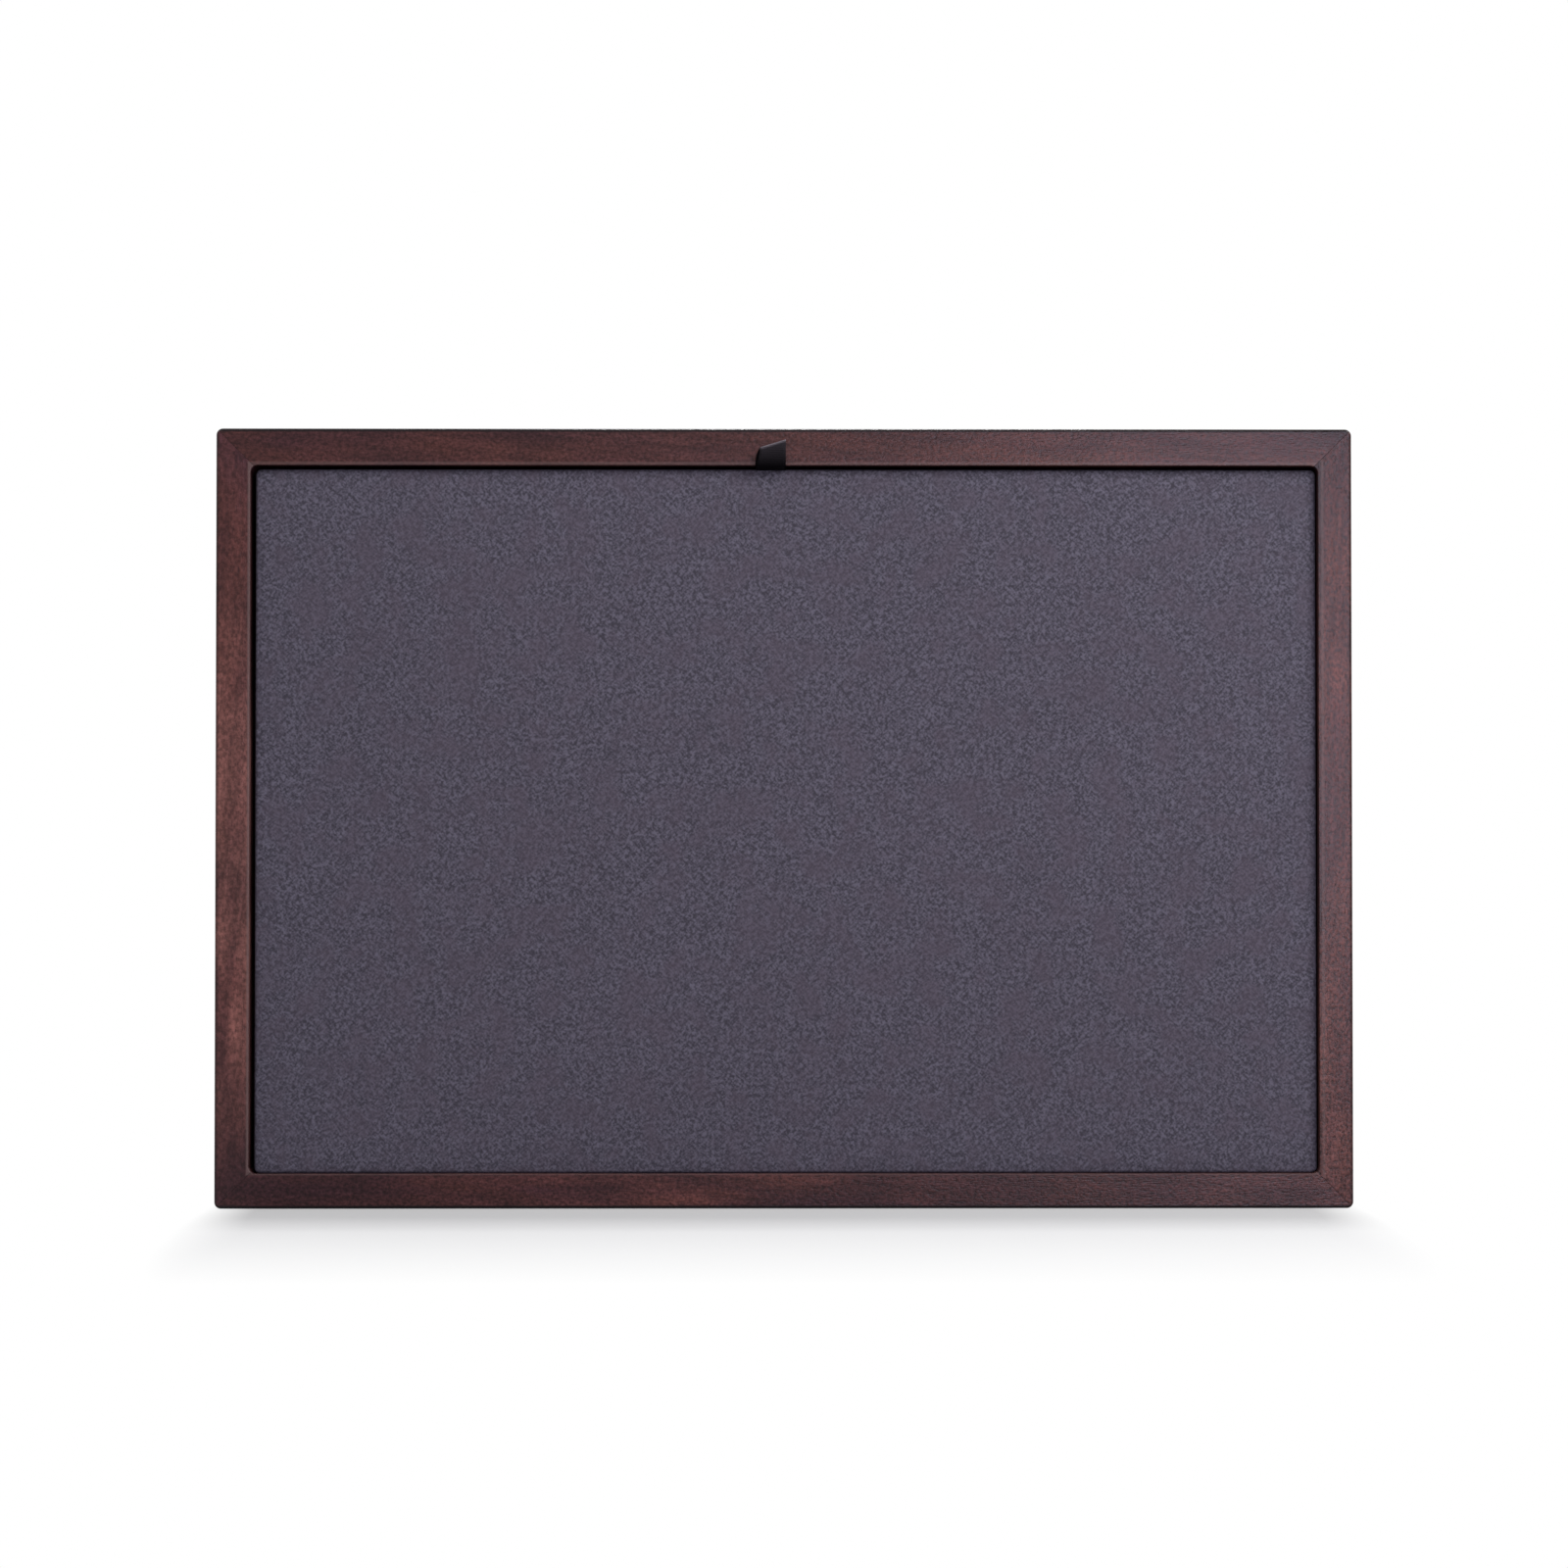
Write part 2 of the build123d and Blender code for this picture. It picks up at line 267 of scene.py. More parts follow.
def walnut(name, upright, shift, hearts, shadows, tone, fleck, highlight_line):
    """Stained walnut with its grain along the rail: figure, streaks, mottle and pores.

    Hearts are redder bands along the rail and shadows darker ones, each with its middle, reach
    and share. Tone is how light the wood is, and fleck how strong its mottle. The pale line
    along or beside the well's edge is a painted highlight, partly lacquer worn thin; its
    argument gives its distance from the well's edge, width and share.
    """
    material, tree, shader = new_material(name, 0.24, 0.15)
    place = add_node(tree, "TexCoord").outputs["Object"]
    parts = add_node(tree, "SeparateXYZ", {0: place}).outputs
    up = math(tree, "SUBTRACT", parts["Z"], middle_z)
    past_ease = tray_front + outer_ease
    at_front = spread(tree, parts["Y"], past_ease, past_ease + outer_ease, 1.0, 0.0)
    grain = radians(90) if upright else 0.0
    turn = (0, grain, 0)
    slant = (0, grain + figure_slant, 0)
    figure = noise(tree, place, (0.060, 0.010, 0.010), 3, 0.55, slant, shift)
    patches = noise(tree, place, (0.026, 0.008, 0.008), 2, 0.5, slant, shift)
    clouds = noise(tree, place, (0.045, 0.014, 0.014), 2, 0.5, turn, shift)
    streaks = noise(tree, place, (0.034, 0.0022, 0.0022), 3, 0.6, slant, shift)
    mottle = noise(tree, place, (0.0012, 0.0009, 0.0009), 2, 0.6, turn, shift)
    pores = noise(tree, place, (0.0024, 0.00032, 0.00032), 1, 0.5, turn, shift)

    def along(band):
        """A band's share about its middle along the rail, falling to 0 at its reach."""
        middle, reach, share = band
        away = math(tree, "SUBTRACT", up if upright else parts["X"], middle)
        away = math(tree, "ABSOLUTE", away)
        return spread(tree, away, reach * band_core, reach, share, 0.0)

    depth = spread(tree, figure, 0.36, 0.62, 0.0, 1.0)
    colour = mix_colours(tree, depth, walnut_plum, walnut_red)
    patched = spread(tree, patches, 0.32, 0.58, 0.25, 1.0)
    for band in hearts:
        red_heart = math(tree, "MULTIPLY", patched, along(band))
        colour = mix_colours(tree, red_heart, colour, walnut_amber)
    colour = mix_colours(tree, spread(tree, clouds, 0.48, 0.30, 0.0, 0.6), colour, walnut_dark)
    for band in shadows:
        colour = mix_colours(tree, along(band), colour, walnut_dark)
    colour = shaded(tree, colour, spread(tree, streaks, 0.35, 0.65, tone * 0.78, tone * 1.22))

    # Painted sheen: the mottle grows a little stronger to the right, where the lacquer's sheen
    # is mottled, and it is faint on the sides and the back.
    flecked = spread(tree, mottle, 0.36, 0.64, -fleck, fleck)
    sheen_growth = spread(tree, parts["X"], fleck_grows_from, fleck_grows_to, 1.0, sheen_fleck_growth)
    flecked = math(tree, "MULTIPLY", flecked, sheen_growth)
    faded = spread(tree, at_front, 0.0, 1.0, side_fleck, 1.0)
    flecked = math(tree, "MULTIPLY", flecked, faded)
    colour = shaded(tree, colour, math(tree, "ADD", flecked, 1.0))
    colour = mix_colours(tree, spread(tree, pores, 0.62, 0.74, 0.0, 0.6), colour, walnut_dark)

    # The pale line along or beside the well's edge is a painted highlight, partly lacquer rubbed
    # thin. Where it lies away from the edge, the wood before it carries painted shade.
    beside_middle = math(tree, "ABSOLUTE", parts["X"])
    above_middle = math(tree, "ABSOLUTE", up)
    out_x = math(tree, "SUBTRACT", beside_middle, half_width - upright_width)
    out_z = math(tree, "SUBTRACT", above_middle, half_height - level_width)
    past_edge = math(tree, "MAXIMUM", out_x, out_z)
    highlight_offset, highlight_width, highlight_share = highlight_line
    if highlight_offset:
        shade_before_highlight = spread(tree, past_edge, 0.0, highlight_offset, edge_shade, 1.0)
        colour = shaded(tree, colour, shade_before_highlight)
    from_highlight = math(tree, "ABSOLUTE", math(tree, "SUBTRACT", past_edge, highlight_offset))
    painted_highlight = spread(tree, from_highlight, highlight_width, highlight_width * highlight_core, 0.0, highlight_share)
    painted_highlight = math(tree, "MULTIPLY", painted_highlight, at_front)
    colour = mix_colours(tree, painted_highlight, colour, edge_highlight_walnut)
    # Painted shade darkens the front along its outer edge, and the stain gathers in the mitres.
    in_x = math(tree, "SUBTRACT", half_width, beside_middle)
    in_z = math(tree, "SUBTRACT", half_height, above_middle)
    from_rim = math(tree, "MINIMUM", in_x, in_z)
    rim_shade_share = upright_rim_shade_share if upright else level_rim_shade_share
    rim_shade_core = rim_shade_width * 2 / 3
    in_rim = spread(tree, from_rim, rim_shade_core, rim_shade_width, rim_shade_share, 0.0)
    in_rim = math(tree, "MULTIPLY", in_rim, at_front)
    colour = mix_colours(tree, in_rim, colour, rim_shade_and_mitre_stain)
    from_mitre = math(tree, "ABSOLUTE", math(tree, "SUBTRACT", in_x, in_z))
    in_mitre = spread(tree, from_mitre, 0.0, mitre_stain_width, mitre_stain_share, 0.0)
    colour = mix_colours(tree, in_mitre, colour, rim_shade_and_mitre_stain)

    # The front has a satin finish, and the sides and the back are more matt.
    satin = spread(tree, mottle, 0.3, 0.7, 0.20, 0.28)
    duller = spread(tree, at_front, 0.0, 1.0, side_dullness, 0.0)
    tree.links.new(math(tree, "ADD", satin, duller), shader.inputs["Roughness"])
    height = math(tree, "SUBTRACT", mottle, math(tree, "MULTIPLY", pores, 0.8))
    lay_finish(tree, shader, colour, height, 0.55, 0.0001)
    return material


ring = moulding_ring()
for name, upright, ends, shift, look in (
    (
        "top_rail_walnut",
        False,
        ((-half_width, tray_top, -1, -1), (half_width, tray_top, 1, -1)),
        (3.1, 0.4, 1.7),
        dict(
            hearts=[(-0.06, 0.12, 0.12), (0.12, 0.07, 0.16)],
            shadows=[(0.01, 0.06, 0.22)],
            tone=0.76,
            fleck=0.38,
            highlight_line=(0.0, 0.0009, 0.35),
        ),
    ),
    (
        "bottom_rail_walnut",
        False,
        ((-half_width, tray_bottom, -1, 1), (half_width, tray_bottom, 1, 1)),
        (7.9, 2.2, 0.6),
        dict(
            hearts=[(0.155, 0.05, 0.30)],
            shadows=[(-0.16, 0.09, 0.50), (0.006, 0.035, 0.20), (0.092, 0.075, 0.48)],
            tone=0.97,
            fleck=0.45,
            highlight_line=(0.0, 0.0009, 0.35),
        ),
    ),
    (
        "left_rail_walnut",
        True,
        ((-half_width, tray_top, 1, 1), (-half_width, tray_bottom, 1, -1)),
        (1.3, 5.2, 2.9),
        dict(
            hearts=[(-0.02, 0.10, 1.0)],
            shadows=[(-0.12, 0.04, 0.40), (0.078, 0.04, 0.30)],
            tone=1.10,
            fleck=0.36,
            highlight_line=(0.0, 0.0009, 0.70),
        ),
    ),
    (
        "right_rail_walnut",
        True,
        ((half_width, tray_top, -1, 1), (half_width, tray_bottom, -1, -1)),
        (4.4, 1.1, 8.3),
        dict(
            hearts=[(-0.05, 0.14, 0.22)],
            shadows=[(0.125, 0.05, 0.35), (-0.015, 0.05, 0.22)],
            tone=0.97,
            fleck=0.50,
            highlight_line=(0.0014, 0.0005, 0.30),
        ),
    ),
):
    rail = cut_rail(name, ring, ends)
    rail.data.materials.append(walnut(name, upright, shift, **look))
    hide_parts(name.replace("_walnut", ""))
    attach(rail, "frame")
ring.free()

# Loose tongues of bare beech cross the mitres at the middle of the rails' width. They are
# pressed into their slots with glue, and nothing of them shows once the frame is closed.
beech_pale = (0.50, 0.33, 0.19, 1)
beech_fleck = (0.36, 0.21, 0.11, 1)
beech, tree, shader = new_material("bare_beech", 0.6, 0.3)
place = add_node(tree, "TexCoord").outputs["Object"]
flecks = noise(tree, place, (0.0011, 0.008, 0.0011))
colour = mix_colours(tree, spread(tree, flecks, 0.45, 0.65, 0.0, 1.0), beech_pale, beech_fleck)
lay_finish(tree, shader, colour, flecks, 0.3, 0.0001)


def finish_node(node, material):
    """Gives a CAD node its real finish."""
    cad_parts[node].data.materials.clear()
    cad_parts[node].data.materials.append(material)


finish_node("corner_splines", beech)

# The base board is thin bare fibreboard that lies on the ledge of the rebate. Fourteen
# headless steel pins go through it into the rails, and the felt covers their ends.
board_brown = (0.30, 0.20, 0.12, 1)
board_fibre = (0.20, 0.13, 0.075, 1)
pin_grey = (0.50, 0.50, 0.50, 1)
pin_drawn = (0.36, 0.36, 0.37, 1)
fibreboard, tree, shader = new_material("bare_fibreboard", 0.85, 0.2)
place = add_node(tree, "TexCoord").outputs["Object"]
fibre_mat = noise(tree, place, (0.0007, 0.0007, 0.0007), detail=3, roughness=0.6)
blotches = noise(tree, place, (0.017, 0.017, 0.017))
matted = spread(tree, fibre_mat, 0.35, 0.7, 0.0, 1.0)
colour = mix_colours(tree, matted, board_brown, board_fibre)
colour = mix_colours(tree, spread(tree, blotches, 0.4, 0.7, 0.0, 0.3), colour, board_fibre)
lay_finish(tree, shader, colour, fibre_mat, 0.4, 0.0001)
finish_node("base_board", fibreboard)

pin_steel, tree, shader = new_material("bright_pin_steel", 0.3, 0.5)
shader.inputs["Metallic"].default_value = 1.0
place = add_node(tree, "TexCoord").outputs["Object"]
drawn_lines = noise(tree, place, (0.00033, 0.005, 0.00033))
colour = mix_colours(tree, drawn_lines, pin_grey, pin_drawn)
tree.links.new(colour, shader.inputs["Base Color"])
finish_node("base_pins", pin_steel)

# The well is lined with a card covered in the pad's own charcoal microfibre. It is glued to the
# base board, and shows round the pad and when the pad is out.
microfibre_deep = (0.0410, 0.0370, 0.0490, 1)
microfibre_mid = (0.0700, 0.0630, 0.0840, 1)
microfibre_pale = (0.1120, 0.1020, 0.1340, 1)
microfibre_warm = (0.0760, 0.0600, 0.0800, 1)
lining_corner = 0.0012
lining_rim = 0.0003
lining_cell = 0.02
plate_corner_steps = 6
plate_rim_steps = 3


def microfibre(name, shift):
    """Charcoal brushed microfibre: short nap that lies two ways, and faint violet patches."""
    material, tree, shader = new_material(name, 0.85, 0.15)
    shader.inputs["Sheen Weight"].default_value = 0.08
    shader.inputs["Sheen Roughness"].default_value = 0.45
    shader.inputs["Sheen Tint"].default_value = (0.75, 0.7, 0.85, 1)
    place = add_node(tree, "TexCoord").outputs["Object"]
    lying = (0.0015, 0.0007, 0.0007)
    rising = noise(tree, place, lying, 1, 0.5, (0, radians(-45), 0), shift)
    falling = noise(tree, place, lying, 1, 0.5, (0, radians(45), 0), shift)
    tufts = noise(tree, place, (0.0006, 0.0006, 0.0006), 2, 0.6, (0, 0, 0), shift)
    brushed = noise(tree, place, (0.008, 0.004, 0.004), 2, 0.5, (0, radians(40), 0), shift)
    clouds = noise(tree, place, (0.05, 0.05, 0.05), 2, 0.5, (0, 0, 0), shift)
    hue = noise(tree, place, (0.009, 0.009, 0.009), 3, 0.6, (0, 0, 0), shift)
    nap = math(tree, "ADD", math(tree, "ADD", rising, falling), tufts)
    nap = math(tree, "MULTIPLY", nap, 1 / 3)
    risen = spread(tree, nap, 0.42, 0.5, 0.0, 1.0)
    colour = mix_colours(tree, risen, microfibre_deep, microfibre_mid)
    colour = mix_colours(tree, spread(tree, nap, 0.5, 0.58, 0.0, 1.0), colour, microfibre_pale)
    colour = mix_colours(tree, spread(tree, hue, 0.45, 0.65, 0.0, 0.5), colour, microfibre_warm)
    broad = math(tree, "MULTIPLY", math(tree, "ADD", brushed, clouds), 0.5)
    colour = shaded(tree, colour, spread(tree, broad, 0.3, 0.7, 0.96, 1.04))
    lay_finish(tree, shader, colour, nap, 0.5, 0.0002)
    return material


def box_mesh(low, high):
    """A plain box between two opposite corners."""
    bm = bmesh.new()
    verts = bmesh.ops.create_cube(bm, size=1)["verts"]
    bmesh.ops.scale(bm, vec=high - low, verts=verts)
    bmesh.ops.translate(bm, vec=(low + high) / 2, verts=verts)
    return bm


def run_back(edge):
    """How far an edge runs from front to back."""
    return abs(edge.verts[0].co.y - edge.verts[1].co.y)


def laid_plate(low, high, corner, rim, cell):
    """A thin plate in a box, with round corners, a soft rim and its faces cut in cells."""
    bm = box_mesh(low, high)
    corner_edges = [edge for edge in bm.edges if run_back(edge) > rim]
    round_off(bm, corner_edges, corner, plate_corner_steps)
    rim_edges = [edge for edge in bm.edges if run_back(edge) < rim]
    round_off(bm, rim_edges, rim, plate_rim_steps)
    for axis, start, end in (
        (Vector((1, 0, 0)), low.x, high.x),
        (Vector((0, 0, 1)), low.z, high.z),
    ):
        length = end - start
        cuts = round(length / cell)
        for step in range(1, cuts):
            bmesh.ops.bisect_plane(
                bm,
                geom=bm.verts[:] + bm.edges[:] + bm.faces[:],
                dist=1e-7,
                plane_co=axis * (start + length * step / cuts),
                plane_no=axis,
            )
    return bm


lining_low, lining_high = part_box("well_lining")
bm = laid_plate(lining_low, lining_high, lining_corner, lining_rim, lining_cell)
well_lining = finished_piece("well_lining_microfibre", bm)
well_lining.data.materials.append(microfibre("lining_microfibre", (5.3, 0.2, 9.1)))
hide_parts("well_lining")
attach(well_lining, "frame")

# The underside is black pressed felt, cut with a knife and glued over the base board and the
# pins. It lies flush with the rails' back faces, so that the tray sits softly on glass.
felt_black = (0.0075, 0.0075, 0.0085, 1)
felt_grey = (0.024, 0.024, 0.027, 1)
felt_corner = 0.0017
felt_rim = 0.00025
felt_cell = 0.006
felt_wave = 0.00006
# The felt's face waves faintly, and these say how quickly, in radians per metre.
ripple_x = 190
ripple_z = 230
swell_x = 71
swell_z = 97


def pressed_felt(name):
    """Black wool felt: matted short fibres with a few pale ones."""
    material, tree, shader = new_material(name, 0.95, 0.1)
    shader.inputs["Sheen Weight"].default_value = 0.25
    shader.inputs["Sheen Roughness"].default_value = 0.5
    place = add_node(tree, "TexCoord").outputs["Object"]
    mat = noise(tree, place, (0.0014, 0.0014, 0.0014), detail=4, roughness=0.7)
    hairs = noise(tree, place, (0.0004, 0.002, 0.002), detail=1, turn=(0, radians(50), 0))
    cross_hairs = noise(tree, place, (0.002, 0.002, 0.0004), detail=1, turn=(0, radians(20), 0))
    stray = math(tree, "MAXIMUM", hairs, cross_hairs)
    clouds = noise(tree, place, (0.033, 0.033, 0.033))
    colour = mix_colours(tree, spread(tree, mat, 0.35, 0.7, 0.0, 0.7), felt_black, felt_grey)
    colour = mix_colours(tree, spread(tree, stray, 0.62, 0.75, 0.0, 0.5), colour, felt_grey)
    colour = mix_colours(tree, spread(tree, clouds, 0.35, 0.65, 0.0, 0.25), colour, felt_grey)
    height = math(tree, "ADD", mat, math(tree, "MULTIPLY", stray, 0.5))
    lay_finish(tree, shader, colour, height, 0.7, 0.0003)
    return material


felt_low, felt_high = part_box("underside_felt")
bm = laid_plate(felt_low, felt_high, felt_corner, felt_rim, felt_cell)
for vert in bm.verts:
    if vert.co.y > felt_high.y - felt_rim / 2:
        x, _, z = vert.co
        ripple = sin(x * ripple_x) * cos(z * ripple_z)
        swell = sin(x * swell_x + z * swell_z)
        vert.co.y -= felt_wave * (1 + (ripple + swell) / 2)
underside_felt = finished_piece("underside_black_felt", bm)
underside_felt.data.materials.append(pressed_felt("underside_black_felt"))
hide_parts("underside_felt")
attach(underside_felt, "frame")

# Inside the pad, a fibreboard face and a grey pasteboard back hold a block of fine
# closed-cell foam between them. They are glued into one core before the cover goes round.
pasteboard_grey = (0.25, 0.24, 0.22, 1)
pasteboard_fleck = (0.15, 0.14, 0.13, 1)
foam_white = (0.74, 0.74, 0.71, 1)
foam_hollow = (0.52, 0.52, 0.50, 1)
foam_edge = 0.0012
foam_edge_steps = 4
foam_cells_per_metre = 1600.0
finish_node("face_board", fibreboard)

pasteboard, tree, shader = new_material("grey_pasteboard", 0.8, 0.25)
place = add_node(tree, "TexCoord").outputs["Object"]
pulp = noise(tree, place, (0.00055, 0.00055, 0.00055), detail=3, roughness=0.6)
pulped = spread(tree, pulp, 0.45, 0.7, 0.0, 1.0)
colour = mix_colours(tree, pulped, pasteboard_grey, pasteboard_fleck)
lay_finish(tree, shader, colour, pulp, 0.3, 0.00005)
finish_node("back_board", pasteboard)

bm = box_mesh(*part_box("foam_core"))
round_off(bm, bm.edges[:], foam_edge, foam_edge_steps)
foam_block = finished_piece("pad_foam_block", bm)
foam, tree, shader = new_material("closed_cell_foam", 0.75, 0.3)
shader.inputs["Subsurface Weight"].default_value = 0.15
shader.inputs["Subsurface Scale"].default_value = 0.002
place = add_node(tree, "TexCoord").outputs["Object"]
inputs = {"Vector": place, "Scale": foam_cells_per_metre}
cells = add_node(tree, "TexVoronoi", inputs).outputs["Distance"]
# The hollows of the cut cells carry painted shade.
hollows = spread(tree, cells, 0.2, 0.6, 1.0, 0.0)
colour = mix_colours(tree, hollows, foam_white, foam_hollow)
lay_finish(tree, shader, colour, cells, 0.4, 0.0002)
foam_block.data.materials.append(foam)
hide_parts("foam_core")
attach(foam_block, "pad")

# The cover is one piece of charcoal microfibre, wrapped tight round the core. Its hem is
# turned in and glued on the back, with its corners folded to a mitre.
cover_thickness = 0.0008
cover_corner = 0.0018
cover_corner_steps = 6
cover_rim = 0.0009
cover_rim_steps = 4
cover_cell = 0.006
hem_width = 0.020
sharp_turn = radians(60)
# The stretched cloth stands a little proud at both ends and above.
proud_left = 0.0006
proud_right = 0.0008
proud_above = 0.0002
pad_low, pad_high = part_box("pad_cover")
pad_low.x -= proud_left
pad_high.x += proud_right
pad_high.z += proud_above
pad_middle = (pad_low + pad_high) / 2
pad_width = pad_high.x - pad_low.x
pad_height = pad_high.z - pad_low.z
pad_depth = pad_high.y - pad_low.y
columns = round(pad_width / cover_cell)
rows = round(pad_height / cover_cell)

bm = bmesh.new()
bmesh.ops.create_grid(bm, x_segments=columns, y_segments=rows, size=1)
bmesh.ops.scale(bm, vec=(pad_width / 2, pad_height / 2, 1), verts=bm.verts)
bmesh.ops.rotate(bm, matrix=Matrix.Rotation(pi / 2, 3, "X"), verts=bm.verts)
bmesh.ops.translate(bm, vec=(pad_middle.x, pad_low.y, pad_middle.z), verts=bm.verts)
rim = [edge for edge in bm.edges if edge.is_boundary]
made = bmesh.ops.extrude_edge_only(bm, edges=rim)["geom"]
side_verts = [item for item in made if isinstance(item, bmesh.types.BMVert)]
bmesh.ops.translate(bm, vec=(0, pad_depth, 0), verts=side_verts)
back_rim = [item for item in made if isinstance(item, bmesh.types.BMEdge) and item.is_boundary]
made = bmesh.ops.extrude_edge_only(bm, edges=back_rim)["geom"]
hem_verts = [item for item in made if isinstance(item, bmesh.types.BMVert)]
inward = (1 - 2 * hem_width / pad_width, 1, 1 - 2 * hem_width / pad_height)
to_middle = Matrix.Translation(-pad_middle)
bmesh.ops.scale(bm, vec=inward, space=to_middle, verts=hem_verts)
bm.normal_update()
wrap_corners = [edge for edge in bm.edges if run_back(edge) > pad_depth / 2]
wrap_corners = [edge for edge in wrap_corners if edge.calc_face_angle(0) > sharp_turn]
round_off(bm, wrap_corners, cover_corner, cover_corner_steps)
bm.normal_update()
wrap_rims = [edge for edge in bm.edges if edge.calc_face_angle(0) > sharp_turn]
round_off(bm, wrap_rims, cover_rim, cover_rim_steps)
bmesh.ops.recalc_face_normals(bm, faces=bm.faces)
pad_cover = finished_piece("pad_microfibre_cover", bm)
pad_cover.modifiers.clear()
cloth = pad_cover.modifiers.new("Cloth thickness", "SOLIDIFY")
cloth.thickness = cover_thickness
cloth.offset = -1
pad_cover.data.materials.append(microfibre("pad_microfibre", (0.0, 0.0, 0.0)))
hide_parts("pad_cover")
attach(pad_cover, "pad")

# A sheet of black card closes the back of the pad over the turned-in hem and the ends of the
# ribbon. It is glued down flat, with its corners rounded.
card_black = (0.010, 0.010, 0.012, 1)
card_worn = (0.028, 0.028, 0.030, 1)
black_card, tree, shader = new_material("black_card", 0.6, 0.35)
place = add_node(tree, "TexCoord").outputs["Object"]
tooth = noise(tree, place, (0.0008, 0.0008, 0.0008), detail=3, roughness=0.6)
rubs = noise(tree, place, (0.055, 0.025, 0.025), detail=3)
colour = mix_colours(tree, spread(tree, tooth, 0.4, 0.7, 0.0, 0.4), card_black, card_worn)
colour = mix_colours(tree, spread(tree, rubs, 0.5, 0.75, 0.0, 0.4), colour, card_worn)
lay_finish(tree, shader, colour, tooth, 0.3, 0.00005)
finish_node("backing_sheet", black_card)

# The pull is one length of black grosgrain ribbon, folded in two. Its tails go over the pad's
# top side and down behind, under the backing sheet, and its loop leans up in front of the rail
# with a fold that slants up to the right.
ribbon_low, ribbon_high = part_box("ribbon_tails")
ribbon_left = ribbon_low.x
ribbon_right = ribbon_high.x
ribbon_middle = (ribbon_left + ribbon_right) / 2
ribbon_half = (ribbon_right - ribbon_left) / 2
ply = 0.00035
ply_slit = 0.0001
ply_offset = (ply + ply_slit) / 2
tail_z = ribbon_low.z
tail_top_z = ribbon_high.z - ply - ply_slit / 2
tail_y = ribbon_high.y - ply - ply_slit / 2
tail_bend = 0.0009
hinge_standoff = 0.0006
hinge_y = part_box("pad_cover")[0].y - hinge_standoff
loop_run = 0.0029
loop_rise = radians(15)
left_leg = 0.0057
left_lean = radians(66)
right_leg = 0.0081
right_lean = radians(70)
elbow_width = 0.00095
fold_width = 0.0012
fold_radius = 0.45 * fold_width
elbow_radius_front = 0.0015
elbow_radius_back = 0.0008
bend_steps = 6
weave_across = 8
rib_pitch = 0.00055
thread_pitch = 0.0003
selvedge = 0.0006
# A painted highlight lies along the fold's rounded top and fades out within this reach.
fold_highlight_reach = 0.0010
fold_shift = 0.0014
front_shift = 0.0003
back_shift = -0.0002
back_bow = 0.0004
bow_place = 0.4
bow_radius = 0.009
ribbon_black = (0.0016, 0.0012, 0.0017, 1)
ribbon_rib = (0.0048, 0.0039, 0.0052, 1)
# The colour of the painted highlight on the fold.
ribbon_fold_highlight = (0.110, 0.095, 0.110, 1)


def loop_corners(leg, lean):
    """The loop's corners (y, z), from the lower ply's way out over the fold and back in."""
    front_elbow = Vector(
        (hinge_y - loop_run, tail_top_z - ply_offset + loop_run * tan(loop_rise))
    )
    elbow_turn = (lean + loop_rise) / 2
    back_elbow = front_elbow + elbow_width * Vector((sin(elbow_turn), cos(elbow_turn)))
    outwards = Vector((sin(lean), cos(lean)))
    front_top = front_elbow + leg * Vector((-cos(lean), sin(lean)))
    back_top = front_top + fold_width * outwards
    back_middle = back_top.lerp(back_elbow, bow_place) + back_bow * outwards
    return [front_elbow, front_top, back_top, back_middle, back_elbow]


def ribbon_course(bm, along, highlight_layer, x, skew, leg, lean):
    """The middle line at one edge of the ribbon, from tail end to tail end, and its length.

    Each corner has a sideways shift, its y and z, and the radius of its bend. The skew says how
    much of the shifts this edge takes.
    """
    front_elbow, front_top, back_top, back_middle, back_elbow = loop_corners(leg, lean)
    inner_y = tail_y - ply_offset
    outer_y = tail_y + ply_offset
    lower_z = tail_top_z - ply_offset
    upper_z = tail_top_z + ply_offset
    corners = [
        (0, inner_y, tail_z, 0),
        (0, inner_y, lower_z, tail_bend - ply_offset),
        (0, hinge_y, lower_z, 0),
        (front_shift, *front_elbow, elbow_radius_front),
        (fold_shift, *front_top, fold_radius),
        (fold_shift, *back_top, fold_radius),
        (back_shift, *back_middle, bow_radius),
        (back_shift, *back_elbow, elbow_radius_back),
        (0, hinge_y, upper_z, 0),
        (0, outer_y, upper_z, tail_bend + ply_offset),
        (0, outer_y, tail_z, 0),
    ]
    verts = [bm.verts.new((x + skew * shift, y, z)) for shift, y, z, _ in corners]
    for pair in zip(verts, verts[1:]):
        bm.edges.new(pair)
    front_fold, back_fold = verts[4:6]
    fold_at = (front_fold.co + back_fold.co) / 2
    for vert, (_, _, _, radius) in zip(verts, corners):
        if radius:
            back, on = (edge.other_vert(vert).co - vert.co for edge in vert.link_edges)
            setback = radius / tan(back.angle(on) / 2)
            round_off(bm, [vert], setback, bend_steps, affect="VERTICES")
    vert = verts[0]
    edge = vert.link_edges[0]
    length = 0.0
    course = []
    while edge:
        course.append(edge)
        length += edge.calc_length()
        vert = edge.other_vert(vert)
        vert[along] = length
        # The painted highlight on the fold fades with the distance from it.
        vert[highlight_layer] = max(0.0, 1 - (vert.co - fold_at).length / fold_highlight_reach)
        edge = next((other for other in vert.link_edges if other != edge), None)
    return course, length


